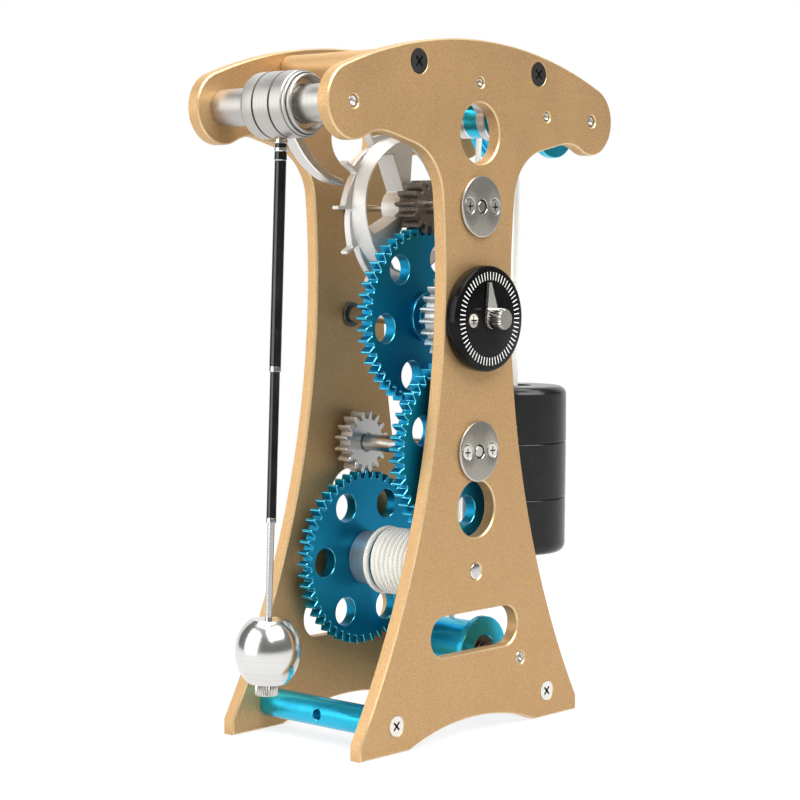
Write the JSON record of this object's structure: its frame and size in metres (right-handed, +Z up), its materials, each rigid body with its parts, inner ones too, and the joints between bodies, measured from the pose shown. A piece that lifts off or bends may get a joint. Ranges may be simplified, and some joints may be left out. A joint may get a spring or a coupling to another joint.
{
  "type": "pendulum clock model",
  "caption": "Weight-driven skeleton clock movement: two gold plates, teal wheel train, detent escapement, side pendulum, cord and hanging weight.",
  "frame": {"origin": "on the surface the feet stand on, half way between the two plates and under the middle of the clock", "axes": "+X to the right seen from the dial, +Y from the dial to the back, +Z up"},
  "size_m": [0.1406, 0.061, 0.1908],
  "materials": {
    "plate_gold": "gold anodised, bead blasted satin",
    "teal_anodised": "teal anodised satin",
    "bare_aluminium": "turned and brushed",
    "satin_steel": "satin",
    "dark_steel": "darkened satin",
    "gloss_black": "gloss black",
    "polished": "polished",
    "white_cord": "braided white cord"
  },
  "bodies": {
    "frame": {"front_plate": "plate_gold", "rear_plate": "plate_gold", "top_bar_left": "plate_gold", "top_bar_right": "plate_gold", "foot_bar_left": "teal_anodised", "foot_bar_right": "teal_anodised", "foot_screws": "satin_steel", "top_screws": "dark_steel", "pendulum_bar": "bare_aluminium", "arm_axle": "satin_steel", "guide_axle": "satin_steel", "axle_clips": "dark_steel", "detent_pin": "satin_steel", "stop_pin": "satin_steel", "second_bearings": "dark_steel", "third_bearings": "dark_steel", "escape_bearings": "dark_steel", "second_cap": "satin_steel", "escape_cap": "satin_steel", "cap_screws": "satin_steel", "dial": "gloss_black", "dial_screw": "satin_steel", "cord_run": "white_cord", "hanging_cord": "white_cord"},
    "great": {"great_arbor": "bare_aluminium", "great_wheel": "teal_anodised", "clutch_ring": "dark_steel", "cord_drum": "teal_anodised", "cord_winding": "white_cord"},
    "second": {"second_arbor": "bare_aluminium", "second_pinion": "bare_aluminium", "second_wheel": "teal_anodised"},
    "third": {"third_arbor": "bare_aluminium", "third_pinion": "bare_aluminium", "third_hub": "teal_anodised", "third_wheel": "teal_anodised", "hand": "polished", "thumb_nut": "polished"},
    "escape": {"escape_arbor": "bare_aluminium", "escape_pinion": "dark_steel", "escape_wheel": "bare_aluminium"},
    "guide": {"guide_roller": "teal_anodised", "guide_bearings": "dark_steel"},
    "arm": {"arm_roller": "teal_anodised", "arm_bearings": "dark_steel"},
    "weight": {"weight_rod": "satin_steel", "weight_eye": "satin_steel", "weight_disc_low": "gloss_black", "weight_disc_mid": "gloss_black", "weight_disc_top": "gloss_black"},
    "pendulum": {"pendulum_collar": "bare_aluminium", "collar_bearings": "satin_steel", "impulse_arm": "bare_aluminium", "release_arm": "bare_aluminium", "rod_fitting": "polished", "pendulum_rod": "gloss_black"},
    "bob": {"bob": "polished"},
    "nut": {"rating_nut": "polished"},
    "detent": {"detent_hub": "teal_anodised", "detent_levers": "bare_aluminium"}
  },
  "joints": [
    {"name": "great_spin", "type": "hinge", "parent": "frame", "child": "great", "pos_m": [0, 0, 0.0455], "axis": [0, 1, 0], "range_deg": [-368, 272]},
    {"name": "second_spin", "type": "hinge", "parent": "frame", "child": "second", "pos_m": [0, 0, 0.0787], "axis": [0, 1, 0], "range_deg": [-817, 1105]},
    {"name": "third_spin", "type": "hinge", "parent": "frame", "child": "third", "pos_m": [0, 0, 0.1152], "axis": [0, 1, 0], "range_deg": [-2401, 1774.9]},
    {"name": "escape_spin", "type": "hinge", "parent": "frame", "child": "escape", "pos_m": [0, 0, 0.1457], "axis": [0, 1, 0], "range_deg": [-6550.8, 8862.5]},
    {"name": "guide_spin", "type": "hinge", "parent": "frame", "child": "guide", "pos_m": [0.02033, 0, 0.01873], "axis": [0, 1, 0], "range_deg": [-246.1, 332.6]},
    {"name": "arm_spin", "type": "hinge", "parent": "frame", "child": "arm", "pos_m": [0.05093, 0, 0.17138], "axis": [0, 1, 0], "range_deg": [-332.6, 246.1]},
    {"name": "weight_travel", "type": "slide", "parent": "frame", "child": "weight", "axis": [0, 0, 1], "range_m": [-0.04146, 0.05596], "deforming": ["hanging_cord"]},
    {"name": "pendulum_swing", "type": "hinge", "parent": "frame", "child": "pendulum", "pos_m": [-0.05093, 0, 0.17138], "axis": [0, 1, 0], "range_deg": [-5, 3.5]},
    {"name": "detent_lift", "type": "hinge", "parent": "frame", "child": "detent", "pos_m": [0.0297, 0, 0.17156], "axis": [0, 1, 0], "range_deg": [-3, 4.3]},
    {"name": "bob_height", "type": "slide", "parent": "pendulum", "child": "bob", "axis": [0.0314, 0, 0.9995], "range_m": [-0.001, 0.0015]},
    {"name": "nut_turn", "type": "hinge", "parent": "bob", "child": "nut", "pos_m": [-0.0558, 0, 0.01646], "axis": [0.0314, 0, 0.9995], "range_deg": [-722, 1082]}
  ],
  "couplings": [
    {"joint": "second_spin", "follows": "great_spin", "ratio": -3},
    {"joint": "third_spin", "follows": "great_spin", "ratio": 6.5217},
    {"joint": "escape_spin", "follows": "great_spin", "ratio": -24.08},
    {"joint": "guide_spin", "follows": "great_spin", "ratio": -0.90104},
    {"joint": "arm_spin", "follows": "great_spin", "ratio": 0.90104},
    {"joint": "weight_travel", "follows": "great_spin", "m_per_rad": -0.00865},
    {"joint": "detent_lift", "follows": "pendulum_swing", "ratio": -0.847},
    {"joint": "nut_turn", "follows": "bob_height", "rad_per_m": 12566}
  ]
}
